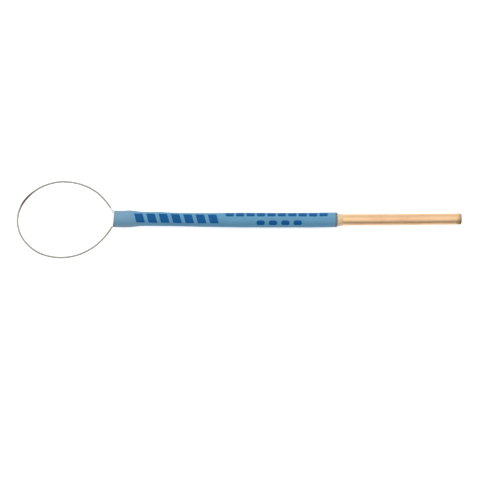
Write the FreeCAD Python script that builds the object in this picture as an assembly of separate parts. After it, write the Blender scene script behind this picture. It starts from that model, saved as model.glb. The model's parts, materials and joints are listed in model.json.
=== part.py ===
import FreeCAD, Part
import math
import os

# Wire loop electrode for a high-frequency surgical handpiece.
# X runs along the shank, and the loop is at -X. The origin is the centre of the shank's free end face.
# The loop lies in the XY plane, and Z is up when the electrode lies flat. Lengths are in millimetres.

# Shank: a 1/16 in brass rod, true to size where it is bare and drawn a little thinner under the sleeve.
SHANK_R = 25.4 / 16 / 2
SHANK_BARE = 17.9
SHANK_CHAMFER = 0.12
ROD_FRONT_R = 0.78
ROD_FRONT_CHAMFER = 0.1
ROD_RECESS = 0.4  # from the sleeve's mouth back to the rod's front face

# Loop wire: 0.25 mm (0.010 in), one length, with both ends laid along the rod's sides.
WIRE_R = 0.125
LEG_Y = 0.885
LEG_LENGTH = 2.2  # inside the sleeve
LEG_STRAIGHT_PAST = 0.07  # from the sleeve's mouth back to the start of each leg's bend
LEG_BEND_R = 0.25

# Loop: the far end, then on each side two arcs of a given turn and a third arc that runs up to the leg.
# It was closed by hand, so the +Y side (1) and the -Y side (-1) are bent a little differently.
LOOP_REACH = 13.94  # from the sleeve's mouth to the wire's centreline at the far end
LOOP_OFFSET_Y = -0.2
TIP_R = 4.7
SHOULDER_RADII = {1: 7.25, -1: 5.95}
FLANK_RADII = {1: 7.65, -1: 8.4}
TIP_TURNS = {1: 39.0, -1: 34.5}  # degrees
SHOULDER_TURNS = {1: 39.7, -1: 43.0}

# Sleeve: half widths of its outside and of its bore, both oval over the wire's legs.
SLEEVE_LENGTH = 32.2
SLEEVE_BACK_R = 1.075
SLEEVE_NECK_R = 0.985
SLEEVE_MOUTH_HALF_Y = 1.195
SLEEVE_MOUTH_HALF_Z = 0.98
BORE_BACK_R = 0.845
BORE_NECK_R = 0.822
BORE_MOUTH_HALF_Y = 1.04
BORE_MOUTH_HALF_Z = 0.835
SWELL_START = 12.6  # distances from the back end, where the back part starts to narrow into the neck
SWELL_END = 23.6
FLARE_START = 27.5  # and where the neck starts to widen over the legs
FLARE_END = 30.3
MOUTH_SLANT = 3.5  # degrees off square
STATION_GAP = 0.7  # between the ovals that the outside and the bore are lofted through
LOFT_OVERRUN = 1.0  # how far the lofts run past the sleeve's ends before they are cut to length
TRIM_REACH = 4.0  # half size of the block that cuts them

# Solder: a fillet round each leg, in a shallow seat cut along the rod.
SEAT_R = 0.16
SEAT_OVERRUN = 1.0  # how far the cutter runs out past the rod's front face
SOLDER_CENTRE_Y = 0.8
SOLDER_HALF_Y = 0.15
SOLDER_HALF_Z = 0.32
SOLDER_END_GAP = 0.15

# Adhesive: a bead behind the sleeve and a domed plug in its mouth.
BEAD_LENGTH = 0.8
BEAD_BACK_R = 0.94
BEAD_MID_R = 0.9
BEAD_END_R = 0.815
BEAD_CORE_R = 0.4  # inside the rod, so that the bead's ring closes on it when the rod is cut out
PLUG_REACH = 0.28
PLUG_HALF_Y = 0.97
PLUG_HALF_Z = 0.79

BACK_X = -SHANK_BARE
MOUTH_X = BACK_X - SLEEVE_LENGTH
ROD_FRONT_X = MOUTH_X + ROD_RECESS
LEG_END_X = MOUTH_X + LEG_LENGTH
X_AXIS = FreeCAD.Vector(1, 0, 0)
Z_AXIS = FreeCAD.Vector(0, 0, 1)
ORIGIN = FreeCAD.Vector(0, 0, 0)


def point(x, y, z=0.0):
    return FreeCAD.Vector(x, y, z)


def mouth_x(y):
    """Where the sleeve's slanted mouth is, at a given Y."""
    return MOUTH_X + y * math.tan(math.radians(MOUTH_SLANT))


def line(start, end):
    return Part.LineSegment(start, end).toShape()


def turned(edges):
    """Solid made by turning a closed outline in the XY plane about X."""
    face = Part.Face(Part.Wire(edges))
    return face.revolve(ORIGIN, X_AXIS, 360)


def polyline(points):
    return [line(a, b) for a, b in zip(points, points[1:])]


def rod_radius(x):
    """Radius of the rod's drawn-down stretch, which starts under the bead."""
    start = BACK_X + BEAD_LENGTH
    share = (x - start) / (ROD_FRONT_X - start)
    return SHANK_R + (ROD_FRONT_R - SHANK_R) * share


def make_rod():
    neck_x = ROD_FRONT_X + ROD_FRONT_CHAMFER
    outline = [
        point(0, 0),
        point(0, SHANK_R - SHANK_CHAMFER),
        point(-SHANK_CHAMFER, SHANK_R),
        point(BACK_X + BEAD_LENGTH, SHANK_R),
        point(neck_x, rod_radius(neck_x)),
        point(ROD_FRONT_X, ROD_FRONT_R - ROD_FRONT_CHAMFER),
        point(ROD_FRONT_X, 0),
        point(0, 0),
    ]
    rod = turned(polyline(outline))
    for side in (1, -1):
        rod = rod.cut(along_x(SEAT_R, side * LEG_Y, ROD_FRONT_X - SEAT_OVERRUN, solder_back_x()))
    return rod


def along_x(radius, y, start_x, end_x):
    return Part.makeCylinder(radius, end_x - start_x, point(start_x, y), X_AXIS)


def solder_back_x():
    return LEG_END_X + SOLDER_END_GAP


def solder_front_x():
    return ROD_FRONT_X + SOLDER_END_GAP


def polar(centre, radius, degrees):
    turn = math.radians(degrees)
    return centre + point(radius * math.cos(turn), radius * math.sin(turn))


def arc(centre, radius, start, end):
    """Arc from one angle to another, in degrees, in the XY plane."""
    corners = [polar(centre, radius, a) for a in (start, (start + end) / 2, end)]
    return Part.Arc(*corners).toShape()


def loop_side(side):
    """Centreline of one half of the loop, from the far end to the leg's end inside the sleeve.

    It is worked out for the +Y side and mirrored for the other. Each arc's centre lies on the line through
    the last arc's centre and their common point, so the arcs are tangent. The leg is the straight line that
    touches both the last arc and the small bend at the mouth, which curves the other way.
    """
    shoulder_r, flank_r = SHOULDER_RADII[side], FLANK_RADII[side]
    bend_x = mouth_x(side * LEG_Y) + LEG_STRAIGHT_PAST
    tip_angle = 180 - TIP_TURNS[side]
    shoulder_angle = tip_angle - SHOULDER_TURNS[side]
    tip_centre = point(MOUTH_X - LOOP_REACH + TIP_R, side * LOOP_OFFSET_Y)
    shoulder_centre = polar(tip_centre, TIP_R - shoulder_r, tip_angle)
    flank_centre = polar(shoulder_centre, shoulder_r - flank_r, shoulder_angle)
    bend_centre = point(bend_x, LEG_Y + LEG_BEND_R)

    between = bend_centre - flank_centre
    heading = math.degrees(math.atan2(between.y, between.x))
    spread = math.degrees(math.acos((flank_r + LEG_BEND_R) / between.Length))
    leg_angle = heading + spread

    edges = [
        arc(tip_centre, TIP_R, 180, tip_angle),
        arc(shoulder_centre, shoulder_r, tip_angle, shoulder_angle),
        arc(flank_centre, flank_r, shoulder_angle, leg_angle),
        line(polar(flank_centre, flank_r, leg_angle), polar(bend_centre, -LEG_BEND_R, leg_angle)),
        arc(bend_centre, LEG_BEND_R, leg_angle - 180, -90),
        line(point(bend_x, LEG_Y), point(LEG_END_X, LEG_Y)),
    ]
    if side < 0:
        edges = [edge.mirror(ORIGIN, point(0, 1)) for edge in edges]
    return edges


def make_wire():
    route = Part.Wire(Part.__sortEdges__(loop_side(1) + loop_side(-1)))
    section = Part.Wire(Part.makeCircle(WIRE_R, point(LEG_END_X, LEG_Y), X_AXIS))
    wire = route.makePipeShell([section], True, True)
    print(f"loop wire: {route.Length:.2f} mm long, volume {wire.Volume:.4f} mm3,")
    print(f"  section times length {math.pi * WIRE_R**2 * route.Length:.4f} mm3")
    return wire


def ease(start, end, x):
    """0 before start, 1 after end, and a smooth S between."""
    share = min(max((x - start) / (end - start), 0.0), 1.0)
    return share * share * (3 - 2 * share)


def half_widths(distance, back_r, neck_r, mouth_y, mouth_z):
    """Half widths in Y and Z of the sleeve's outside or bore, at a distance from its back end."""
    round_r = back_r + (neck_r - back_r) * ease(SWELL_START, SWELL_END, distance)
    flare = ease(FLARE_START, FLARE_END, distance)
    return round_r + (mouth_y - round_r) * flare, round_r + (mouth_z - round_r) * flare


def oval(x, half_y, half_z):
    """Closed oval in the plane of a given X, with its seam on +Y."""
    curve = Part.Ellipse(point(x, half_y), point(x, 0, half_z), point(x, 0))
    return Part.Wire(curve.toShape())


def tube_core(sizes):
    """Solid with the sleeve's outside or bore shape, running past both of its ends by a little."""
    length = SLEEVE_LENGTH + 2 * LOFT_OVERRUN
    steps = round(length / STATION_GAP)
    sections = []
    for step in range(steps + 1):
        distance = length * step / steps - LOFT_OVERRUN
        sections.append(oval(BACK_X - distance, *half_widths(distance, *sizes)))
    return Part.makeLoft(sections, True, False)


def between_ends():
    """Block that keeps what lies between the sleeve's square back end and its slanted mouth."""
    corners = [
        point(BACK_X, TRIM_REACH, -TRIM_REACH),
        point(mouth_x(TRIM_REACH), TRIM_REACH, -TRIM_REACH),
        point(mouth_x(-TRIM_REACH), -TRIM_REACH, -TRIM_REACH),
        point(BACK_X, -TRIM_REACH, -TRIM_REACH),
    ]
    outline = Part.Wire(polyline(corners + corners[:1]))
    return Part.Face(outline).extrude(point(0, 0, 2 * TRIM_REACH))


def make_core(sizes):
    return tube_core(sizes).common(between_ends())


def make_sleeve(bore):
    outside = make_core((SLEEVE_BACK_R, SLEEVE_NECK_R, SLEEVE_MOUTH_HALF_Y, SLEEVE_MOUTH_HALF_Z))
    return outside.cut(bore)


def make_solder(side, rod, wire):
    """Fillet between one leg and the rod: an oval bar and the seat's lining, less the rod and the wire."""
    front, back = solder_front_x(), solder_back_x()
    curve = Part.Ellipse(
        point(front, side * SOLDER_CENTRE_Y, SOLDER_HALF_Z),
        point(front, side * (SOLDER_CENTRE_Y + SOLDER_HALF_Y)),
        point(front, side * SOLDER_CENTRE_Y),
    )
    bar = Part.Face(Part.Wire(curve.toShape())).extrude(point(back - front, 0))
    return bar.cut(rod).cut(wire)


def make_bead():
    """Ring of adhesive behind the sleeve, thick against the sleeve and thin where it ends on the rod."""
    end_x = BACK_X + BEAD_LENGTH
    crown = Part.Arc(
        point(BACK_X, BEAD_BACK_R), point((BACK_X + end_x) / 2, BEAD_MID_R), point(end_x, BEAD_END_R)
    )
    edges = [
        crown.toShape(),
        line(point(end_x, BEAD_END_R), point(end_x, BEAD_CORE_R)),
        line(point(end_x, BEAD_CORE_R), point(BACK_X, BEAD_CORE_R)),
        line(point(BACK_X, BEAD_CORE_R), point(BACK_X, BEAD_BACK_R)),
    ]
    return turned(edges)


def make_plug():
    """Dome of adhesive that stands a little out of the sleeve's mouth."""
    sizes = FreeCAD.Matrix()
    sizes.scale(PLUG_REACH, PLUG_HALF_Y, PLUG_HALF_Z)
    dome = Part.makeSphere(1.0).transformGeometry(sizes)
    dome.translate(point(MOUTH_X, 0))
    return dome


def make_liner(bore, rod, wire, solders):
    liner = bore.fuse(make_bead()).fuse(make_plug())
    for piece in [rod, wire] + solders:
        liner = liner.cut(piece)
    return liner


def single_solid(name, shape):
    """The shape's one solid, tidied. Anything else is a mistake in the model."""
    solids = shape.removeSplitter().Solids
    if len(solids) != 1 or not solids[0].isValid():
        raise ValueError(f"{name} is {len(solids)} solids, or not valid")
    return solids[0]


def main():
    rod = make_rod()
    wire = make_wire()
    solder_right = make_solder(1, rod, wire)
    solder_left = make_solder(-1, rod, wire)
    bore = make_core((BORE_BACK_R, BORE_NECK_R, BORE_MOUTH_HALF_Y, BORE_MOUTH_HALF_Z))
    parts = {
        "shank_rod": rod,
        "loop_wire": wire,
        "solder_right": solder_right,
        "solder_left": solder_left,
        "insulating_sleeve": make_sleeve(bore),
        "adhesive_liner": make_liner(bore, rod, wire, [solder_right, solder_left]),
    }
    os.makedirs("parts", exist_ok=True)
    for name, shape in parts.items():
        solid = single_solid(name, shape)
        solid.exportStep(f"parts/{name}.step")
        box = solid.BoundBox
        print(
            f"{name}: volume {solid.Volume:.3f} mm3, X {box.XMin:.2f} to {box.XMax:.2f},"
            f" Y {box.YMin:.2f} to {box.YMax:.2f}, Z {box.ZMin:.2f} to {box.ZMax:.2f}"
        )


main()
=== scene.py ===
# %% [markdown]
# # A wire loop electrode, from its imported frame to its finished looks
#
# The object is a small surgical electrode: a fine wire loop that cuts with high-frequency current, a brass rod that
# carries the current and fits a handpiece, and a blue heat-shrink sleeve that insulates the rod. It lies flat on a
# white table. The CAD frame gives every place and size, and this lesson gives each piece a finer surface and a finish.

# %% Load the frame
import json
import math

import bpy
import numpy as np
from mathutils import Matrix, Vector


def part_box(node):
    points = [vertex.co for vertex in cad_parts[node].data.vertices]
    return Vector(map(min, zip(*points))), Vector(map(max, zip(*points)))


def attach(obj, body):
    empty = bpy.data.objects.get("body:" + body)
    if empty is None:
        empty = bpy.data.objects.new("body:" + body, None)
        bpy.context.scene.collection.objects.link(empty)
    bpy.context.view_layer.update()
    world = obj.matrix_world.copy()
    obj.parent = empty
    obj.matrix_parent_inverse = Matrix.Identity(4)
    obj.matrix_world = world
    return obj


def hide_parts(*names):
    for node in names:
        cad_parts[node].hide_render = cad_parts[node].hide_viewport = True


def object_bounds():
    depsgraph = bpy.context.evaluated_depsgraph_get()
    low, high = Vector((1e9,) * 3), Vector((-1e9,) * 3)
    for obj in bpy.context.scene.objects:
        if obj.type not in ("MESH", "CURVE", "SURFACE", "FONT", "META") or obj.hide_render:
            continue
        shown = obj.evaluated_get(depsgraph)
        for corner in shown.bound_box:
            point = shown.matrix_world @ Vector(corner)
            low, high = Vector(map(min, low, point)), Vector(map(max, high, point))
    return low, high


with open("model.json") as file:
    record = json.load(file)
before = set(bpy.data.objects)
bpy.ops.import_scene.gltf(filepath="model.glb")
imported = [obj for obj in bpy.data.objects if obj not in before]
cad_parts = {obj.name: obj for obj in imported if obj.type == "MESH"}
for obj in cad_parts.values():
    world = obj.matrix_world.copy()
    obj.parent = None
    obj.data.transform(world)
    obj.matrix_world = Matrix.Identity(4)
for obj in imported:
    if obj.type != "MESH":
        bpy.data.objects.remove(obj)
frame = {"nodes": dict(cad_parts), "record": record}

cad_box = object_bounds()
print("CAD box in mm:", [[round(c * 1000, 2) for c in corner] for corner in cad_box])

# %% [markdown]
# ## Measures
#
# All shapes below are worked out in millimetres, because the wire is only a quarter of a millimetre thick, and become
# metres when they are put into a mesh. The ends of each piece are read from the frame. What the frame's boxes can't
# say, such as the sleeve's narrow neck, is named where it is used.

# %% Read places from the frame
MM = 0.001


def box_mm(node):
    """Lowest and highest corners of a CAD node, in millimetres."""
    return [np.array(corner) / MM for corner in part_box(node)]


rod_low, rod_high = box_mm("shank_rod")
wire_low, wire_high = box_mm("loop_wire")
sleeve_low, sleeve_high = box_mm("insulating_sleeve")
glue_low, glue_high = box_mm("adhesive_liner")

ROD_R = frame["record"]["mounts"][0]["dims"]["r_mm"]
ROD_FRONT_R = 0.78  # the rod gets a little thinner towards its hidden end
FREE_END = rod_high[0]
ROD_FRONT = rod_low[0]
BACK = sleeve_high[0]  # the sleeve's square back end
BEAD_END = glue_high[0]
WIRE_R = 0.125
LEG_Y = 0.885  # how far each leg's centreline is from the rod's axis
LEG_END = wire_high[0]
MOUTH_SLANT = math.tan(math.radians(3.5))  # the mouth was cut a little off square
MOUTH = sleeve_low[0] + sleeve_high[1] * MOUTH_SLANT  # the middle of the sleeve's slanted front end
SLEEVE_LENGTH = BACK - MOUTH
print(f"rod {FREE_END - ROD_FRONT:.2f} mm long, sleeve {SLEEVE_LENGTH:.2f} mm, loop {MOUTH - wire_low[0]:.2f} mm")

# %% [markdown]
# ## Camera
#
# The electrode is a flat thing and is shown from straight above, as in a catalogue. A long lens from far away keeps
# the two ends of the rod the same thickness. The frame is a little wider than the object, which lies above the middle.

# %% Camera
FRAME_WIDTH = 69.26  # mm of table across the picture
LENS = 150.0
AIM = (-31.93, -2.96)  # the place that the camera is above, in mm

camera_data = bpy.data.cameras.new("camera")
camera_data.lens = LENS
camera_data.clip_start = 0.001
camera = bpy.data.objects.new("camera", camera_data)
camera_height = FRAME_WIDTH * LENS / camera_data.sensor_width
camera.location = (AIM[0] * MM, AIM[1] * MM, camera_height * MM)
bpy.context.scene.collection.objects.link(camera)
bpy.context.scene.camera = camera
print(f"camera {camera_height:.0f} mm above the table")

# %% [markdown]
# ## Surfaces from grids
#
# Every new piece is a grid of points: rows run along the piece, and columns go round it. Two helpers carry the
# geometry. `section` turns "how far the skin reaches in each direction" into points. That is the support function of
# a stretched skin, and it suits heat-shrink tube, because the reach over two things is simply the larger of their
# reaches. `skin` joins the grid's points into faces, closes its ends and stores where each point is on the unrolled
# surface, in millimetres, so that a print can be placed on it with a ruler.

# %% Points round a section
COLUMNS = 128  # points round each section


def angles(columns=COLUMNS):
    """Directions round the X axis, once round from straight down: 0 is +Y, and 90 degrees is straight up."""
    return -np.pi / 2 + 2 * np.pi * np.arange(columns) / columns


def section(x, reach):
    """Points of sections across X. In direction a the skin reaches r, so its point is r times the direction plus the
    rate of change of r times the direction a quarter turn on."""
    rows, columns = reach.shape
    a = angles(columns)[None, :]
    step = 2 * np.pi / columns
    slope = (np.roll(reach, -1, axis=1) - np.roll(reach, 1, axis=1)) / (2 * step)
    y = reach * np.cos(a) - slope * np.sin(a)
    z = reach * np.sin(a) + slope * np.cos(a)
    return np.stack([np.broadcast_to(np.asarray(x).reshape(rows, -1), (rows, columns)), y, z], axis=2)


# %% A mesh from a grid
def unrolled(points, looped):
    """Distance of each grid point along the rows and round the columns, in mm, with one extra column at the seam.
    The distance round is zero on top and grows towards +Y."""
    closed = np.concatenate([points, points[:, :1]], axis=1)
    round_steps = np.linalg.norm(np.diff(closed, axis=1), axis=2)
    around = np.concatenate([np.zeros((len(points), 1)), np.cumsum(round_steps, axis=1)], axis=1)
    around = around[:, points.shape[1] // 2, None] - around
    centres = points.mean(axis=1)
    along = np.concatenate([[0.0], np.cumsum(np.linalg.norm(np.diff(centres, axis=0), axis=1))])
    along = np.broadcast_to(along[:, None], around.shape)
    if looped:
        along = np.concatenate([along, along[:1]])
        around = np.concatenate([around, around[:1]])
    return np.stack([along, around], axis=2)


def skin(name, points, looped=False, wrap=None, sharp=35):
    """A closed mesh from points in mm, rows by columns by 3. Each square of four neighbours is a face. A looped grid's
    last row joins its first, and any other grid is closed by a fan of triangles at each end."""
    rows, columns = points.shape[:2]
    wrap = unrolled(points, looped) if wrap is None else wrap
    row_count = rows if looped else rows - 1
    i, j = np.meshgrid(np.arange(row_count), np.arange(columns), indexing="ij")
    i_next, j_next = i + 1, j + 1
    corners = [(i, j), (i_next, j), (i_next, j_next), (i, j_next)]
    quads = np.stack([(r % rows) * columns + c % columns for r, c in corners], axis=2).reshape(-1, 4)
    quad_wrap = np.stack([wrap[r, c] for r, c in corners], axis=2).reshape(-1, 2)
    vertices = points.reshape(-1, 3)
    faces, corner_wrap = quads.tolist(), [quad_wrap]
    if not looped:
        ring = np.arange(columns)
        following = (ring + 1) % columns
        first, last = rows * columns, rows * columns + 1
        vertices = np.concatenate([vertices, points[0].mean(axis=0)[None], points[-1].mean(axis=0)[None]])
        front_fan = np.stack([np.full(columns, first), ring, following], axis=1)
        back_ring = (rows - 1) * columns
        back_fan = np.stack([np.full(columns, last), back_ring + following, back_ring + ring], axis=1)
        faces += front_fan.tolist() + back_fan.tolist()
        corner_wrap += [np.repeat(wrap[0, :1], 3 * columns, axis=0), np.repeat(wrap[-1, :1], 3 * columns, axis=0)]

    mesh = bpy.data.meshes.new(name)
    mesh.from_pydata((vertices * MM).tolist(), [], faces)
    layer = mesh.uv_layers.new(name="unrolled_mm")
    layer.data.foreach_set("uv", np.concatenate(corner_wrap).astype(np.float32).ravel())
    volume = enclosed(mesh) / MM**3
    if volume < 0:
        mesh.flip_normals()
    mesh.polygons.foreach_set("use_smooth", np.ones(len(mesh.polygons), bool))
    mesh.set_sharp_from_angle(angle=math.radians(sharp))
    mesh.update()
    piece = bpy.data.objects.new(name, mesh)
    bpy.context.scene.collection.objects.link(piece)
    print(f"{name}: {len(mesh.polygons)} faces, {abs(volume):.3f} mm3")
    return piece


def enclosed(mesh):
    """Volume inside a closed mesh, from the signed volumes of its triangles with the origin."""
    mesh.calc_loop_triangles()
    triangles = np.empty(3 * len(mesh.loop_triangles), np.int32)
    mesh.loop_triangles.foreach_get("vertices", triangles)
    places = np.empty(3 * len(mesh.vertices), np.float32)
    mesh.vertices.foreach_get("co", places)
    a, b, c = places.reshape(-1, 3).astype(float)[triangles.reshape(-1, 3)].transpose(1, 0, 2)
    return float(np.einsum("ij,ij->i", a, np.cross(b, c)).sum() / 6)


# %% Slow ripples
def ripple(t, waves, seed):
    """A smooth wobble, mostly between -1 and 1: a few sines of t, each with so many waves and a random phase. Round a
    section the numbers of waves are whole, so that it meets itself."""
    phases = np.random.default_rng(seed).uniform(0, 2 * np.pi, len(waves))
    return sum(np.sin(n * t + p) for n, p in zip(waves, phases)) / math.sqrt(len(waves))


def ease(start, end, x):
    """0 before start, 1 after end, and a smooth S between. With start above end it falls instead."""
    share = np.clip((np.asarray(x, float) - start) / (end - start), 0, 1)
    return share * share * (3 - 2 * share)


# %% [markdown]
# ## A rod that isn't quite straight
#
# A thin soft rod that has been heated, pushed into a sleeve and handled keeps a slight bow. It is under a tenth of a
# millimetre each way, but the eye sees it against a ruler-straight edge. So each new piece passes through `bent`,
# which shifts its points sideways along a shallow parabola. In the loop, past the mouth, the shift dies away.

# %% The bow
BOW, BOW_MIDDLE = 0.14, -25.0  # mm sideways at each end against the middle, and where along X the middle is
BOW_EVEN = 0.4  # share of the bow that is taken off all over, so that the rod lies on both sides of the axis
BOW_FADES = 6  # mm past the mouth, over which the shift dies away


def bent(points):
    """The same points, shifted along Y by a parabola in X that is highest at both ends of the rod."""
    x = points[..., 0]
    shift = BOW * ((x / BOW_MIDDLE - 1) ** 2 - BOW_EVEN)
    moved = points.copy()
    moved[..., 1] += shift * ease(MOUTH - BOW_FADES, MOUTH, x)
    return moved


# %% [markdown]
# ## The brass rod
#
# On the real electrode this is a piece of drawn 1/16 in rod. Its bare end goes into the handpiece, and the rest hides
# in the sleeve. A cylinder with a bevel could stand for it. Carrying a profile round the axis is as short, and it
# gives the burred edge of a sheared rod, the slight draw-down under the sleeve and an unrolled surface for the marks.

# %% Rod
EDGE = 0.12  # width of the broken edge at each end
EDGE_ROWS, ROD_ROWS = 7, 60  # over each edge, and along each of the two long stretches
FACE_RINGS = (0.3, 0.7)  # the rings on each flat end, as shares of the rod's radius
END_ROWS = len(FACE_RINGS) + EDGE_ROWS + 1


def rod_profile():
    """X and radius of the rod's outline, from its front face to its free end: flat ends, an edge rounded by a quarter
    circle at each, a long slight taper, and a true cylinder from the bead to the free end."""
    quarter = np.linspace(0, np.pi / 2, EDGE_ROWS)
    front_x = ROD_FRONT + EDGE * (1 - np.sin(quarter))
    front_r = ROD_FRONT_R - EDGE * (1 - np.cos(quarter))
    taper_x = np.linspace(ROD_FRONT + EDGE, BEAD_END, ROD_ROWS)
    taper_r = np.linspace(ROD_FRONT_R, ROD_R, ROD_ROWS)
    bare_x = np.linspace(BEAD_END, FREE_END - EDGE, ROD_ROWS)
    bare_r = np.full(ROD_ROWS, ROD_R)
    end_x = FREE_END - EDGE * (1 - np.sin(quarter))
    end_r = ROD_R - EDGE * (1 - np.cos(quarter))
    face = np.array(FACE_RINGS) * ROD_R
    x = np.concatenate([[ROD_FRONT] * 2, front_x[::-1], taper_x[1:], bare_x[1:], end_x[1:], [FREE_END] * 2])
    r = np.concatenate([face, front_r[::-1], taper_r[1:], bare_r[1:], end_r[1:], face[::-1]])
    return x, r


rod_x, rod_r = rod_profile()
shank = skin("shank_rod_drawn", bent(section(rod_x, np.repeat(rod_r[:, None], COLUMNS, axis=1))))
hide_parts("shank_rod")
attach(shank, "root")

# %% [markdown]
# ## The wire's route
#
# The wire is bent the way a maker bends it round a former: a tight arc at the far end, an easier arc at each
# shoulder, an easier one still along each flank, then a short straight leg and one sharp bend where it enters the
# sleeve. The two sides differ a little, because the loop was closed by hand. Complex numbers keep this short: a point
# is x + iy, and an arc is a centre plus a radius times a turning unit number.

# %% Route of the wire
TIP_R, BEND_R = 4.7, 0.25
RADII = {1: (7.25, 7.65), -1: (5.95, 8.4)}  # of the shoulder and the flank, on the +Y side and on the -Y side
TURNS = {1: (39.0, 39.7), -1: (34.5, 43.0)}  # degrees round the tip and the shoulder
TIP = complex(wire_low[0] + WIRE_R, -0.2)  # the far end, a little off the rod's axis
STRAIGHT_PAST = 0.07  # from the sleeve's mouth back to the start of each bend
STEP, FEWEST = 0.04, 8  # mm between points, and the fewest points in an arc


def arc(centre, radius, start, end):
    """Points of an arc: the centre plus the radius times a unit number that turns from start to end, in radians."""
    count = max(int(abs(radius * (end - start)) / STEP), FEWEST)
    return centre + radius * np.exp(1j * np.linspace(start, end, count))


def half_route(side):
    """One half of the loop, from the tip to the leg's end, worked out as if on +Y and mirrored for the other side.
    Each arc's centre is on the line through the last one's centre and their common point, so they meet smoothly. The
    leg touches both the flank's circle and the bend's circle on their opposite sides."""
    tip_turn, shoulder_turn = np.radians(TURNS[side])
    shoulder_r, flank_r = RADII[side]
    start = complex(TIP.real, side * TIP.imag)
    tip_angle, shoulder_angle = np.pi - tip_turn, np.pi - tip_turn - shoulder_turn
    tip_centre = start + TIP_R
    shoulder_centre = tip_centre + (TIP_R - shoulder_r) * np.exp(1j * tip_angle)
    flank_centre = shoulder_centre + (shoulder_r - flank_r) * np.exp(1j * shoulder_angle)
    bend_x = MOUTH + side * LEG_Y * MOUTH_SLANT + STRAIGHT_PAST
    bend_centre = complex(bend_x, LEG_Y + BEND_R)
    between = bend_centre - flank_centre
    leg_angle = np.angle(between) + math.acos((flank_r + BEND_R) / abs(between))
    tip = arc(tip_centre, TIP_R, np.pi, tip_angle)
    shoulder = arc(shoulder_centre, shoulder_r, tip_angle, shoulder_angle)
    flank = arc(flank_centre, flank_r, shoulder_angle, leg_angle)
    bend = arc(bend_centre, BEND_R, leg_angle - np.pi, -np.pi / 2)
    route = np.concatenate([tip, shoulder[1:], flank[1:], bend, [complex(LEG_END, LEG_Y)]])
    return route if side > 0 else route.conj()


def evenly(route, step):
    """The same route with its points a fixed step apart along its length, and the distance of each."""
    lengths = np.concatenate([[0.0], np.cumsum(np.abs(np.diff(route)))])
    places = np.linspace(0, lengths[-1], int(lengths[-1] / step))
    return np.interp(places, lengths, route.real) + 1j * np.interp(places, lengths, route.imag), places


wire_route, wire_places = evenly(np.concatenate([half_route(1)[::-1], half_route(-1)[1:]]), STEP)
TIP_PLACE = wire_places[np.argmin(wire_route.real)]
print(f"wire {wire_places[-1]:.2f} mm long, with its far end at {TIP_PLACE:.2f} mm")

# %% [markdown]
# ## The wire
#
# A round wire is a circle carried along the route. A curve with a bevel would do this too, but the wire isn't quite
# even: it is a hair thicker where its surface has scorched, and it was bent by hand, so it wavers by a few hundredths
# of a millimetre. Both are easy to say when each ring's place and radius are numbers in an array.

# %% Wire
WIRE_COLUMNS = 24
SCORCH = (TIP_PLACE - 3.45, 1.85)  # middle and half length of the scorched stretch, along the wire
SCORCH_SWELLING = 0.22  # share by which the wire is thicker there
UNEVENNESS = 0.01  # share of the radius
SWAY, SWAY_MEAN = 0.008, 1.8  # mm for each unit of ripple, and units added so that the wire sways inwards only
SWAY_SETS_IN = (2.6, 5.0)  # mm from each end of the wire


def scorched(places):
    """A bell curve: 1 in the middle of the scorched stretch, about a third a half length away, and 0 far from it."""
    return np.exp(-(((places - SCORCH[0]) / SCORCH[1]) ** 2))


def carried(route, radius):
    """Circles carried along a flat route: each point is the route's point, plus the radius times the cosine along
    the route's left-hand normal, plus the radius times the sine straight up."""
    tangent = np.gradient(route)
    normal = (1j * tangent / np.abs(tangent))[:, None]
    a = -np.pi / 2 - 2 * np.pi * np.arange(WIRE_COLUMNS)[None, :] / WIRE_COLUMNS
    flat = route[:, None] + radius[:, None] * np.cos(a) * normal
    return np.stack([flat.real, flat.imag, radius[:, None] * np.sin(a)], axis=2)


from_end = np.minimum(wire_places, wire_places[-1] - wire_places)
turns = wire_places / wire_places[-1] * 2 * np.pi
sway = SWAY * ease(*SWAY_SETS_IN, from_end) * (SWAY_MEAN + ripple(turns, (5, 9, 14), seed=3))
inward = 1j * np.gradient(wire_route) / np.abs(np.gradient(wire_route))
wire_line = wire_route + sway * inward
thinning = UNEVENNESS * (1 + ripple(turns, (31, 52, 83), seed=8))
wire_radius = WIRE_R * (1 + SCORCH_SWELLING * scorched(wire_places) - thinning)
wire = skin("loop_wire_bent", bent(carried(wire_line, wire_radius)), sharp=60)
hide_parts("loop_wire")
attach(wire, "root")

# %% [markdown]
# ## The sleeve
#
# Heat-shrink tube shrinks until it is stretched over whatever is in it. Here that is the round rod, with one leg of
# the wire along each side near the mouth. So the section is the support function of those three circles: the reach in
# any direction is the larger of the rod's reach and a leg's reach, plus the wall. A soft maximum rounds the change
# between them, as a real wall does. Along its length the tube is thickest at the back and thinnest in the neck, where
# shrinking over the legs has pulled it out. The cut ends are squared-off rims with slightly broken edges.

# %% Reach of the sleeve's skin
SWELL_START, SWELL_END = 12.6, 23.6  # distances from the back end, in mm
FLARE_START, FLARE_END = 27.4, 30.4
SOFTNESS = 0.012  # how far the soft maximum rounds the change from rod to leg
TURNING = 0.003  # rounds the reach of the legs where it passes from one side to the other
OUTSIDE = {"back_r": 1.064, "neck_r": 0.972, "mouth_r": 0.975, "leg_wall": 0.302}
BORE = {"back_r": 0.845, "neck_r": 0.822, "mouth_r": 0.835, "leg_wall": 0.148}
BULGE = 0.09  # mm that the +Y leg pushes the tube out
BULGE_SETS_IN, BULGE_DIES_AWAY = (23.0, 26.0), (31.0, 29.6)
UNEVEN, LUMPY = 0.004, 0.003  # mm, along the tube and round it


def soft_max(a, b):
    """The larger of two reaches, with the corner between them rounded: the logarithm of summed exponentials."""
    return SOFTNESS * np.logaddexp(a / SOFTNESS, b / SOFTNESS)


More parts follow.
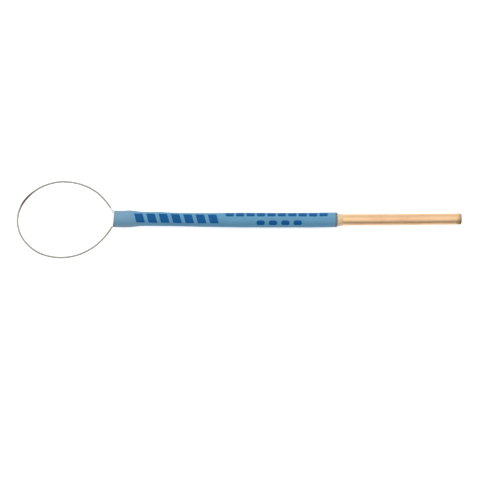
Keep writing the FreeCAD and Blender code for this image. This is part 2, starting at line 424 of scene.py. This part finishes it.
def over_contents(distance, back_r, neck_r, mouth_r, leg_wall):
    """Reach of a skin stretched over the rod and the legs. distance is a column of distances from the back end, and
    leg_wall is how far the skin is outside a leg's centreline. Behind the legs their solder tapers away, so the place
    that the skin is stretched over moves in, until it is no wider than the rod."""
    round_r = back_r + (neck_r - back_r) * ease(SWELL_START, SWELL_END, distance)
    flare = ease(FLARE_START, FLARE_END, distance)
    round_r = round_r + (mouth_r - round_r) * flare
    narrow = round_r - leg_wall - 3 * SOFTNESS
    place = narrow + (LEG_Y - narrow) * flare
    leg = place * np.sqrt(np.cos(angles())[None, :] ** 2 + TURNING) + leg_wall
    return soft_max(np.broadcast_to(round_r, leg.shape), leg)


def outside(distance):
    """Reach of the outside, with its unevenness and a bulge on the +Y side, where that leg pushes the tube out."""
    uneven = UNEVEN * ripple(distance * 0.55, (1, 2.2, 3.9), seed=11)
    lumps = LUMPY * ripple(angles()[None, :] + distance * 0.21, (2, 3, 5), seed=12)
    towards_leg = np.clip(np.cos(angles()), 0, 1)[None, :] ** 2
    bulge = BULGE * ease(*BULGE_SETS_IN, distance) * ease(*BULGE_DIES_AWAY, distance) * towards_leg
    return over_contents(distance, **OUTSIDE) + uneven + lumps + bulge


def bore(distance):
    """Reach of the bore."""
    return over_contents(distance, **BORE)


walls = {place: OUTSIDE[place + "_r"] - BORE[place + "_r"] for place in ("back", "neck", "mouth")}
print("sleeve's wall in mm:", {place: round(wall, 3) for place, wall in walls.items()})

# %% Sleeve
RIM = 0.045  # how far the broken edge reaches back from each cut end
SQUARENESS = 5  # 2 would be a round rim, and larger is squarer
OUTER_ROWS, RIM_ROWS, BORE_ROWS = 420, 13, 90
THICKER = 0.045  # how far the outside is off centre from the bore, where the tube's wall is uneven
RAGGED_MOUTH, RAGGED_BACK = 0.025, 0.018  # mm that the two cuts waver along the tube
BACK_MEAN = 1.6  # units of ripple taken off, so that the back cut wavers inwards from the end


def rim():
    """How far out of the wall's middle a cut end's outline is, from 1 outside to -1 inside, and how far it stands
    out of the end of the straight wall, from 0 to 1 and back. It is a circle squared off by a power."""
    turn = np.linspace(0, np.pi, RIM_ROWS + 2)[1:-1]
    depth, stand = np.cos(turn), np.sin(turn)
    return np.sign(depth) * np.abs(depth) ** (2 / SQUARENESS), stand ** (2 / SQUARENESS)


def sleeve_points():
    """Rows go up the outside from the back end to the mouth, over the mouth's rim, down the bore and over the back
    rim to where they began. Each row is a share of the way from the bore's reach to the outside's."""
    straight = np.linspace(RIM, SLEEVE_LENGTH - RIM, OUTER_ROWS)
    depth, stand = rim()
    inner = np.linspace(SLEEVE_LENGTH - RIM, RIM, BORE_ROWS)
    distance = np.concatenate([straight, SLEEVE_LENGTH - RIM + RIM * stand, inner, RIM - RIM * stand])[:, None]
    share = np.concatenate([np.ones(OUTER_ROWS), (1 + depth) / 2, np.zeros(BORE_ROWS), (1 - depth) / 2])[:, None]
    reach = bore(distance) + share * (outside(distance) - bore(distance))
    points = section(BACK - distance, reach)
    near_mouth = ease(SLEEVE_LENGTH - 5, SLEEVE_LENGTH, distance)
    near_back = ease(0.6, 0, distance)
    ragged = RAGGED_MOUTH * near_mouth * ripple(angles()[None, :], (2, 3, 5), seed=21)
    ragged = ragged + RAGGED_BACK * near_back * (ripple(angles()[None, :], (1, 3, 4), seed=22) - BACK_MEAN)
    points[:, :, 0] += points[:, :, 1] * MOUTH_SLANT * near_mouth + ragged
    thicker_side = ease(0, 4, distance) * ease(26, 18, distance)
    points[:, :, 1] -= THICKER * share * thicker_side
    points = bent(points)
    wrap = unrolled(points, looped=True)
    wrap[:-1, :, 0] = distance
    wrap[-1, :, 0] = distance[0]
    return points, wrap


sleeve_grid, sleeve_wrap = sleeve_points()
sleeve = skin("insulating_sleeve_shrunk", sleeve_grid, looped=True, wrap=sleeve_wrap, sharp=50)
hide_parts("insulating_sleeve")
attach(sleeve, "root")

# %% [markdown]
# ## The hot-melt lining
#
# The sleeve is lined with hot-melt adhesive, which flows when the tube shrinks. It fills the gap to the rod, and what
# is left over comes out at both ends: a bead behind the sleeve, a low dome in the mouth, and a little collar up each
# leg of the wire. The lining and its bead are one closed shell. The dome and the collars are pieces of their own,
# because a grid with one row of columns can't branch.

# %% Lining and bead
GAP = 0.003  # keeps the clear adhesive's surface off the walls that it touches
BEAD_R = (0.935, 0.9, 0.83)  # against the sleeve, halfway and at its end
LINING_INSET = 0.5  # from the mouth back to the lining's front end
BORE_SIDE_ROWS, BEAD_ROWS, ROD_SIDE_ROWS = 80, 16, 40


def lining_points():
    """Rows go along the bore from the mouth to the back end, over the bead outside, and back along the rod. The
    bead's radius is a parabola through three radii, and its length wavers round the rod."""
    distance = np.linspace(SLEEVE_LENGTH - LINING_INSET, 0.0, BORE_SIDE_ROWS)[:, None]
    bore_rows = section(BACK - distance, bore(distance) - GAP)
    t = np.linspace(0, 1, BEAD_ROWS)[:, None]
    a, b, c = BEAD_R
    bulge = a * (1 - t) * (1 - 2 * t) + 4 * b * t * (1 - t) + c * t * (2 * t - 1)
    reach = bulge * (1 + 0.01 * ripple(angles()[None, :], (1, 2, 3), seed=31))
    length = (BEAD_END - BACK) * (0.9 + 0.1 * ripple(angles()[None, :], (1, 2, 4), seed=32))
    bead_rows = section(np.zeros(BEAD_ROWS), reach)
    bead_rows[:, :, 0] = BACK + GAP + t * length
    front = np.full_like(length, BACK - SLEEVE_LENGTH + LINING_INSET)
    inner_x = np.linspace(BACK + 0.5 * length, front, ROD_SIDE_ROWS)[:, 0]
    inner_x = np.concatenate([BACK + GAP + length, inner_x])
    rod_body = slice(END_ROWS, -END_ROWS)
    radius = np.interp(inner_x, rod_x[rod_body], rod_r[rod_body]) + GAP / 2
    directions = angles()[None, :]
    inner_rows = np.stack([inner_x, radius * np.cos(directions), radius * np.sin(directions)], axis=2)
    return bent(np.concatenate([bore_rows, bead_rows, inner_rows]))


lining = skin("hot_melt_lining", lining_points(), looped=True, sharp=60)

# %% Plug in the mouth
PLUG_STANDS_OUT = MOUTH - glue_low[0]
FACE_ROWS, WALL_ROWS, DOME_ROWS = 8, 5, 12
FACE_CENTRE = 0.15  # the innermost row of the back face, as a share of the bore


def plug_points():
    """Rows go out across the rod's front face, along the bore to the mouth, and over a dome to its top. Each is the
    bore's section scaled by a share: rising, then 1, then the cosine of the dome's angle."""
    back_face = np.linspace(FACE_CENTRE, 1, FACE_ROWS)
    dome = np.linspace(0, np.pi / 2, DOME_ROWS + 2)[1:-1]
    share = np.concatenate([back_face, np.ones(WALL_ROWS), np.cos(dome)])[:, None]
    wall_x = np.linspace(ROD_FRONT - GAP, MOUTH, WALL_ROWS + 2)[1:-1]
    x = np.concatenate([np.full(FACE_ROWS, ROD_FRONT - GAP), wall_x, MOUTH - PLUG_STANDS_OUT * np.sin(dome)])
    reach = share * (bore(np.full((1, 1), SLEEVE_LENGTH)) - 2 * GAP)
    points = section(x, reach)
    beyond_rod = ease(ROD_FRONT, MOUTH, x)[:, None]
    points[:, :, 0] += points[:, :, 1] * MOUTH_SLANT * beyond_rod
    return bent(points)


plug = skin("hot_melt_plug", plug_points(), sharp=60)

# %% Collars up the legs
COLLARS = {"right": (1, 0.85, 0.24), "left": (-1, 0.4, 0.175)}  # side, how far up the leg, thickest radius
COLLAR_STEP = 0.02
COLLAR_DEPTH, COLLAR_THINS = 0.12, 0.2  # mm from its start in the plug to the mouth, and to where it begins to thin
COLLAR_END_R = WIRE_R * 1.04
COLLAR_HOLLOW = 0.7  # below 1 the collar thins fast first and then slowly


def collar_points(side, climb, thick):
    """A sheath carried along the leg from inside the plug. Its radius falls smoothly from thick to just over the
    wire's own, as adhesive does where it wets a wire."""
    route, places = evenly(half_route(side)[::-1], COLLAR_STEP)
    start = LEG_END - MOUTH - COLLAR_DEPTH
    end = start + COLLAR_DEPTH + climb
    kept = (places >= start) & (places <= end)
    fall = ease(start + COLLAR_THINS, end, places[kept])
    radius = thick + (COLLAR_END_R - thick) * fall ** COLLAR_HOLLOW
    radius[0] = COLLAR_END_R
    return bent(carried(route[kept], radius))


collars = [skin(f"hot_melt_collar_{name}", collar_points(*facts), sharp=80) for name, facts in COLLARS.items()]
for glue in [lining, plug, *collars]:
    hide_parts("adhesive_liner")
    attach(glue, "root")

# %% [markdown]
# ## Shader maths that reads as Python
#
# A finish is a formula over the surface, and a chain of Math nodes hides it. This small class wraps one socket of a
# node tree, so that `1 - mask * 0.4` adds the nodes by itself. Every other node comes from its one method `node`,
# which sets a node's settings first and then its sockets.

# %% Shader maths
class Shade:
    """One socket of a shader tree. Operators on it add Math nodes."""

    def __init__(self, tree, socket=None):
        self.tree, self.socket = tree, socket

    def node(self, kind, settings=None, inputs=None, output=0):
        """Adds a node, sets its settings and a ramp's stops, then its sockets, and gives back one of its outputs."""
        made = self.tree.nodes.new(kind)
        for name, value in (settings or {}).items():
            if name == "stops":
                while len(made.color_ramp.elements) < len(value):
                    made.color_ramp.elements.new(0.5)
                for element, (position, colour) in zip(made.color_ramp.elements, value):
                    element.position, element.color = position, (*colour, 1)
            else:
                setattr(made, name, value)
        for name, value in (inputs or {}).items():
            if isinstance(value, Shade):
                self.tree.links.new(value.socket, made.inputs[name])
            else:
                made.inputs[name].default_value = value
        return Shade(self.tree, made.outputs[output])

    def maths(self, operation, *values):
        """A Math node's result, from numbers or other Shades."""
        return self.node("ShaderNodeMath", {"operation": operation}, dict(enumerate(values)))

    def __add__(self, other):
        return self.maths("ADD", self, other)

    def __sub__(self, other):
        return self.maths("SUBTRACT", self, other)

    def __rsub__(self, other):
        return self.maths("SUBTRACT", other, self)

    def __mul__(self, other):
        return self.maths("MULTIPLY", self, other)

    def __truediv__(self, other):
        return self.maths("DIVIDE", self, other)

    def __mod__(self, other):
        return self.maths("FLOORED_MODULO", self, other)

    def __pow__(self, other):
        return self.maths("POWER", self, other)

    def __abs__(self):
        return self.maths("ABSOLUTE", self)

    __radd__ = __add__
    __rmul__ = __mul__

    def part(self, axis):
        """One part of a vector: 0 for X, 1 for Y and 2 for Z."""
        return self.node("ShaderNodeSeparateXYZ", inputs={0: self}, output=axis)

    def at_least(self, low):
        """The larger of this and another."""
        return self.maths("MAXIMUM", self, low)

    def at_most(self, high):
        """The smaller of this and another."""
        return self.maths("MINIMUM", self, high)

    def rise(self, start, end):
        """0 before start, 1 after end, and a smooth S between. With start above end it falls instead."""
        inputs = {"Value": self, "From Min": start, "From Max": end}
        return self.node("ShaderNodeMapRange", {"interpolation_type": "SMOOTHSTEP"}, inputs)

    def tint(self, low, high):
        """A colour between two, by this share. Either may be a colour or another Shade."""
        colours = [c if isinstance(c, Shade) else (*c, 1) for c in (low, high)]
        inputs = {0: self, 6: colours[0], 7: colours[1]}  # a Mix node's factor, and its two colours
        return self.node("ShaderNodeMix", {"data_type": "RGBA"}, inputs, output=2)


def finish(name, **uniform):
    """A new material, its tree as a Shade, and its Principled shader. What is the same all over the surface is set on
    the shader's own sockets here."""
    material = bpy.data.materials.new(name)
    material.use_nodes = True
    shader = material.node_tree.nodes["Principled BSDF"]
    for socket, value in uniform.items():
        shader.inputs[socket.replace("_", " ")].default_value = value
    return material, Shade(material.node_tree), shader


def feed(tree, shader, **sockets):
    """Links what changes over the surface to the shader's sockets."""
    for name, value in sockets.items():
        tree.tree.links.new(value.socket, shader.inputs[name.replace("_", " ")])


def places_mm(tree, stretch=(1, 1, 1)):
    """Object coordinates in millimetres, each axis stretched by a factor for patterns that run one way."""
    raw = tree.node("ShaderNodeTexCoord", output="Object")
    scale = tuple(s / MM for s in stretch)
    return tree.node("ShaderNodeVectorMath", {"operation": "MULTIPLY"}, {0: raw, 1: scale})


def unrolled_mm(tree):
    """The distance along a piece and the distance round it, in millimetres, as `unrolled` stored them."""
    return tree.node("ShaderNodeUVMap", {"uv_map": "unrolled_mm"})


def noise(tree, vector, scale, detail=3.0, roughness=0.55):
    """Noise between 0 and 1, mostly near the middle, with so many lumps in each unit of the vector."""
    inputs = {"Vector": vector, "Scale": scale, "Detail": detail, "Roughness": roughness}
    return tree.node("ShaderNodeTexNoise", {"noise_dimensions": "3D"}, inputs)


def relief(tree, height, depth):
    """A normal bumped by a height of 0 to 1, depth being what 1 stands for, in mm."""
    return tree.node("ShaderNodeBump", inputs={"Height": height, "Distance": depth * MM, "Strength": 1.0})


def dress(material, *pieces):
    """Puts a finish on new pieces."""
    for piece in pieces:
        piece.data.materials.append(material)
    print(f"{material.name}: {len(material.node_tree.nodes)} nodes, on {', '.join(piece.name for piece in pieces)}")


# %% [markdown]
# ## Drawn brass
#
# Rod comes through a die, which leaves fine lines along it, and it is handled, so it dulls in soft blotches. Heating
# the tube on leaves it yellower beside the sleeve. The free end is painted darker, as shade, most on its -Y side. A
# plain metallic shader would be too clean. The lines are noise stretched along X, and they shift both the colour
# and the roughness.

# %% Brass
FRESH_BRASS, DULL_BRASS, DIE_LINES = (0.85, 0.59, 0.355), (0.79, 0.515, 0.305), (0.90, 0.65, 0.41)
# The second colour on the next line is painted shade, laid over the rod's free end.
HEATED_BRASS, END_SHADE, BROWN_SPOTS = (0.90, 0.68, 0.33), (0.20, 0.165, 0.085), (0.42, 0.27, 0.14)


def drawn_brass():
    """Fresh brass turning dull in blotches, with lighter lines along it, then the heated part, painted shade at the
    free end and the brown spots, each mixed in by its own mask. from_end is the distance from the free end, made
    uneven and smaller towards -Y, so that the painted shade is deepest on that side."""
    material, tree, shader = finish("drawn_brass", Metallic=1.0, IOR=1.5)
    mm = places_mm(tree)
    x, y = mm.part(0), mm.part(1)
    lines = noise(tree, places_mm(tree, (0.05, 1, 1)), 9.0, 4.0, 0.7)
    blotches = noise(tree, places_mm(tree, (0.35, 1, 1)), 0.9, 4.0)
    specks = noise(tree, mm, 7.0, 2.0)

    colour = blotches.rise(0.35, 0.7).tint(FRESH_BRASS, DULL_BRASS)
    colour = (lines.rise(0.35, 0.65) * 0.35).tint(colour, DIE_LINES)
    beside_sleeve = x.rise(BEAD_END + 1.4, BEAD_END - 0.2) * 0.6
    colour = beside_sleeve.tint(colour, HEATED_BRASS)
    # The free end is painted darker, as shade. The Y term makes that painted shade deepest on the -Y side.
    from_end = FREE_END - x + (specks - 0.5) * 0.5 + y * 0.35
    shaded_end = from_end.rise(0.85, 0.0) * 0.75
    colour = shaded_end.tint(colour, END_SHADE)
    spots = specks.rise(0.66, 0.74) * 0.3
    colour = spots.tint(colour, BROWN_SPOTS)

    roughness = 0.54 + (lines - 0.5) * 0.2 + (blotches - 0.5) * 0.16 + shaded_end * 0.2
    feed(tree, shader, Base_Color=colour, Roughness=roughness, Normal=relief(tree, lines, 0.004))
    return material


dress(drawn_brass(), shank)

# %% [markdown]
# ## Drawn steel wire
#
# The wire is bright and nearly smooth. Where it has been sparked it shows heat colours: straw, then brown, then a
# violet grey. The unrolled distance along the wire places that stretch, whatever shape the loop is bent to.

# %% Wire finish
BRIGHT, GLINT, STAINED, STRAW = (0.37, 0.365, 0.35), (0.45, 0.445, 0.43), (0.27, 0.265, 0.25), (0.35, 0.29, 0.19)
# Bright steel, then straw brown, violet and nearly black, by how much heat it has seen
HEAT_COLOURS = [(0.0, BRIGHT), (0.35, (0.27, 0.23, 0.205)), (0.7, (0.15, 0.09, 0.09)), (1.0, (0.09, 0.05, 0.055))]


def loop_steel():
    """Heat is 1 in the middle of the scorched stretch and falls with the distance from it along the wire, counted in
    half lengths and made uneven. A ramp turns it into colour, and straw comes in near the sleeve."""
    material, tree, shader = finish("loop_steel", Metallic=1.0)
    surface = unrolled_mm(tree)
    along = surface.part(0)
    mottle = noise(tree, places_mm(tree), 1.6, 3.0)
    stain = noise(tree, places_mm(tree), 0.35, 2.0)
    grain = noise(tree, surface, 14.0, 3.0, 0.7)

    away = abs(along - SCORCH[0]) / SCORCH[1] + (mottle - 0.5) * 0.6
    heat = away.rise(1.25, 0.15)
    colour = tree.node("ShaderNodeValToRGB", {"stops": HEAT_COLOURS}, {"Fac": heat})
    colour = (grain.rise(0.4, 0.7) * 0.25).tint(colour, GLINT)
    colour = (stain.rise(0.4, 0.65) * 0.4).tint(colour, STAINED)
    middle = wire_places[-1] / 2
    near_sleeve = abs(along - middle).rise(middle - 6.0, middle - 3.0) * 0.45
    colour = near_sleeve.tint(colour, STRAW)
    roughness = 0.3 + heat * 0.3 + (grain - 0.5) * 0.2
    feed(tree, shader, Base_Color=colour, Roughness=roughness, Normal=relief(tree, grain, 0.002))
    return material


dress(loop_steel(), wire)

# %% [markdown]
# ## Blue heat-shrink with printed marks
#
# The tube is a satin blue plastic. Shrinking leaves faint lengthwise lines and a slightly uneven colour, and dust
# clings to it. Its print is plain: a row of bold slanted bars near the mouth, a row of dashes along the upper side
# and four dots on the lower side. Each row is one rounded box, repeated along the unrolled tube by a remainder, so the
# whole print is a formula of two distances and stays sharp at any size. The ink is thin, so its edges bleed a little
# and it is patchy.

# %% Print
BARS = {"start": 17.0, "pitch": 1.77, "count": 7, "middle": 0.19, "size": (1.24, 1.42), "slant": 0.28}
DASHES = {"start": 1.25, "pitch": 1.5, "count": 10, "middle": 1.0, "size": (1.2, 0.9), "corner": 0.24}
DOTS = {"start": 4.84, "pitch": 1.78, "count": 4, "middle": -0.42, "size": (1.2, 0.76), "corner": 0.34}
BLEED, INK_EDGE = 0.09, 0.04  # mm that the ink's edge wanders, and half the width over which it fades


def print_row(along, around, start, pitch, count, middle, size, slant=0.0, corner=0.12):
    """Signed distance in mm to the nearest mark of a row, negative inside it. start and pitch are measured from the
    sleeve's back end, middle is the row's distance round from the top, and size is a mark's length and height."""
    up = around - middle
    run = along - start - up * slant
    within = (run % pitch) - pitch / 2
    beyond_row = (abs(run - pitch * count / 2) - pitch * count / 2).at_least(0.0)
    over_length = abs(within) - (size[0] / 2 - corner)
    over_height = abs(up) - (size[1] / 2 - corner)
    outside_corner = (over_length.at_least(0.0) ** 2 + over_height.at_least(0.0) ** 2) ** 0.5
    inside_box = over_length.at_least(over_height).at_most(0.0)
    return outside_corner + inside_box - corner + beyond_row * 4


def ink_mask(tree, along, around):
    """1 where there is ink. The distance to the nearest mark, roughened by noise, is cut off over a soft edge."""
    bars, dashes, dots = (print_row(along, around, **row) for row in (BARS, DASHES, DOTS))
    nearest = bars.at_most(dashes).at_most(dots)
    bleed = (noise(tree, places_mm(tree), 5.0, 3.0) - 0.5) * BLEED
    return (nearest + bleed).rise(INK_EDGE, -INK_EDGE)


print(f"print: {BARS['count']} bars, {DASHES['count']} dashes and {DOTS['count']} dots")

# %% Blue sleeve
DEEP_BLUE, FULL_BLUE, LINE_BLUE = (0.112, 0.298, 0.485), (0.137, 0.333, 0.517), (0.177, 0.39, 0.57)
# The second colour on the next line is a painted grey reflection for the sides of the flare.
STRETCHED_BLUE, FLARE_SIDE_REFLECTION = (0.21, 0.375, 0.50), (0.24, 0.28, 0.38)
# The first two colours on the next line are painted shade, at the back cut and at the mouth's cut.
BACK_CUT_SHADE, MOUTH_CUT_SHADE, INK = (0.165, 0.18, 0.225), (0.10, 0.12, 0.25), (0.0, 0.09, 0.285)


def blue_heat_shrink():
    """Two blues in clouds and a lighter one in lines, then a chalky blue over the stretched mouth, a painted grey
    reflection along its sides, painted shade at the two cut ends, deepest on the mouth's -Y side, and the ink, each
    mixed in by its own mask of the distances along and round the tube."""
    material, tree, shader = finish("blue_heat_shrink", IOR=1.48, Specular_IOR_Level=0.12)
    surface = unrolled_mm(tree)
    along, around = surface.part(0), surface.part(1)
    mm = places_mm(tree)
    lines = noise(tree, places_mm(tree, (0.12, 1, 1)), 5.0, 3.0, 0.6)
    cloud = noise(tree, places_mm(tree, (0.5, 1, 1)), 0.8, 3.0)
    fine = noise(tree, mm, 16.0, 3.0, 0.7)

    colour = cloud.rise(0.3, 0.72).tint(DEEP_BLUE, FULL_BLUE)
    colour = (lines.rise(0.45, 0.7) * 0.22).tint(colour, LINE_BLUE)
    chalky = along.rise(27.0, 31.0) * (0.55 + cloud * 0.3)
    colour = chalky.tint(colour, STRETCHED_BLUE)
    # Painted reflection: the flare's sides, towards +Y and -Y, are painted a greyer blue.
    colour = (along.rise(28.0, 31.0) * abs(around).rise(0.75, 1.35) * 0.4).tint(colour, FLARE_SIDE_REFLECTION)
    # Painted shade darkens the tube near its back cut, outside, over the rim and in the bore.
    back_cut_shade = along.rise(0.42, 0.16)
    colour = (back_cut_shade * 0.9).tint(colour, BACK_CUT_SHADE)
    # Painted shade darkens the mouth's cut, most on its -Y side.
    mouth_cut_shade = along.rise(SLEEVE_LENGTH - 0.26, SLEEVE_LENGTH) * (0.35 + around.rise(0.2, -0.9) * 0.5)
    colour = mouth_cut_shade.tint(colour, MOUTH_CUT_SHADE)

    ink = ink_mask(tree, along, around)
    patchy = ink * (0.97 + (fine - 0.5) * 0.35)
    colour = patchy.tint(colour, INK)
    roughness = 0.45 + (fine - 0.5) * 0.16 + chalky * 0.15 - ink * 0.08
    height = lines * 0.6 + fine * 0.4
    feed(tree, shader, Base_Color=colour, Roughness=roughness, Normal=relief(tree, height, 0.006))
    return material


dress(blue_heat_shrink(), sleeve)

# %% [markdown]
# ## Hot-melt and solder
#
# The adhesive is cloudy and lets some light through. It is nearly colourless in the mouth, turning grey in the thin
# collars, and honey-coloured in the bead, where it has been hotter and shows the brass under it. How clear a piece is
# has to be one number for all of it, so the two colours are two finishes from one function. The solder is hidden in
# the mouth, and its CAD shape is right, so those two nodes stay and only get a dull tin finish.

# %% Adhesive and solder
def hot_melt(name, clearness, colour_at):
    """Cloudy adhesive. colour_at gives its colour from the cloudiness and the place's X and Y in mm."""
    material, tree, shader = finish(name, IOR=1.48, Transmission_Weight=clearness)
    mm = places_mm(tree)
    cloudy = noise(tree, mm, 1.4, 3.0)
    colour = colour_at(cloudy, mm.part(0), mm.part(1))
    feed(tree, shader, Base_Color=colour, Roughness=0.2 + cloudy * 0.2, Normal=relief(tree, cloudy, 0.004))
    return material


def honey(cloudy, x, y):
    """Amber, mottled, and paler against the sleeve."""
    amber = cloudy.rise(0.35, 0.7).tint((0.93, 0.70, 0.42), (0.90, 0.62, 0.33))
    return (x.rise(BEAD_END - 0.1, BACK) * 0.6).tint(amber, (0.86, 0.72, 0.56))


def milk(cloudy, x, y):
    """Nearly white in the mouth's middle, and grey from the legs outwards."""
    white = cloudy.rise(0.3, 0.7).tint((0.97, 0.98, 1.0), (0.99, 0.99, 1.0))
    return abs(y).rise(0.95, 1.2).tint(white, (0.76, 0.78, 0.83))


def dull_tin():
    """Two greys, mottled by a fine grain that also roughens it."""
    material, tree, shader = finish("dull_tin", Metallic=1.0)
    grain = noise(tree, places_mm(tree), 6.0, 4.0)
    colour = grain.rise(0.3, 0.7).tint((0.46, 0.46, 0.47), (0.62, 0.62, 0.61))
    feed(tree, shader, Base_Color=colour, Roughness=0.4 + grain * 0.2, Normal=relief(tree, grain, 0.008))
    return material


dress(hot_melt("hot_melt_honey", 0.2, honey), lining)
dress(hot_melt("hot_melt_milky", 0.05, milk), plug, *collars)
tin = dull_tin()
for node in ("solder_right", "solder_left"):
    frame["nodes"][node].material_slots[0].material = tin
    print(f"{tin.name}: on the frame's {node}")

# %% [markdown]
# ## Table and light
#
# A catalogue picture has a table of white acrylic, lit a little from below as well, so that no shadow shows on it.
# Bright metal and satin plastic need something even to reflect. So the light comes from a wide bright tent rather
# than from small lamps. The tent is left dark low down on one side, which gives the rod its dark line and the sleeve
# its darker lower edge. A grey panel on the other side keeps the upper edges from fading into the table, and a soft
# lamp above that panel adds a faint highlight.

# %% Table
TABLE_SIZE, TABLE_BELOW = 3000.0, 0.01  # mm across, and mm between the object and the table's top
TABLE_GLOW = 0.52


def table():
    """A flat square under the object, with its top just below where the object rests."""
    half = TABLE_SIZE / 2
    z = cad_box[0][2] / MM - TABLE_BELOW
    corners = np.array([[-half, -half, z], [half, -half, z], [half, half, z], [-half, half, z]]) * MM
    mesh = bpy.data.meshes.new("table")
    mesh.from_pydata(corners.tolist(), [], [[0, 1, 2, 3]])
    top = bpy.data.objects.new("table", mesh)
    bpy.context.scene.collection.objects.link(top)
    glow = {"Emission_Color": (1, 1, 1, 1), "Emission_Strength": TABLE_GLOW}
    material, tree, shader = finish("white_acrylic", Roughness=0.9, **glow)
    wear = noise(tree, places_mm(tree), 0.02, 2.0)
    feed(tree, shader, Base_Color=wear.tint((0.80, 0.80, 0.80), (0.82, 0.82, 0.82)))
    dress(material, top)


table()

# %% Tent
TENT_COLOUR = (1.22, 1.2, 1.17)
DARK_GAP = {"side": -1, "elevation": 12, "inner": 20, "outer": 55, "colour": (0.04, 0.04, 0.05)}
GREY_PANEL = {"side": 1, "elevation": -4, "inner": 15, "outer": 45, "colour": (0.5, 0.49, 0.475)}


def wedge(direction, side, elevation, inner, outer):
    """1 inside a wedge of directions that runs along X, and 0 outside it. Its middle is so many degrees above the
    table, on the +Y or the -Y side. It is whole out to inner degrees from there and has faded away at outer. The
    cosine of the angle round X is the dot product of the two directions once X is left out."""
    y, z = direction.part(1), direction.part(2)
    middle = math.radians(elevation)
    towards = (z * math.sin(middle) + y * (side * math.cos(middle))) / (y * y + z * z) ** 0.5
    return towards.rise(math.cos(math.radians(outer)), math.cos(math.radians(inner)))


def tent():
    """The world: bright all round, with a dark gap low down along the -Y side and a grey panel along the other."""
    world = bpy.data.worlds.new("tent")
    world.use_nodes = True
    direction = Shade(world.node_tree).node("ShaderNodeTexCoord", output="Generated")
    colour = TENT_COLOUR
    for facts in (DARK_GAP, GREY_PANEL):
        shape = {name: value for name, value in facts.items() if name != "colour"}
        colour = wedge(direction, **shape).tint(colour, facts["colour"])
    world.node_tree.links.new(colour.socket, world.node_tree.nodes["Background"].inputs["Color"])
    bpy.context.scene.world = world
    print(f"{world.name}: {len(world.node_tree.nodes)} nodes")


tent()

# %% Lamp
def soft_lamp(name, place, size, watts):
    """A square area light at a place in mm, aimed at the middle of the object."""
    light = bpy.data.lights.new(name, "AREA")
    light.shape, light.size, light.energy = "SQUARE", size * MM, watts
    lamp = bpy.data.objects.new(name, light)
    back = np.array(place) - np.array([AIM[0], 0.0, 0.0])
    lamp.location = np.array(place) * MM
    lamp.rotation_euler = (0, math.acos(back[2] / np.linalg.norm(back)), math.atan2(back[1], back[0]))
    bpy.context.scene.collection.objects.link(lamp)
    print(f"{name} lamp: {watts} W from {np.linalg.norm(back):.0f} mm away")


soft_lamp("upper_side", place=(-32, 260, 330), size=260, watts=0.03)
bpy.context.scene.view_settings.view_transform = "Standard"  # colours are shown as they are, with no film curve
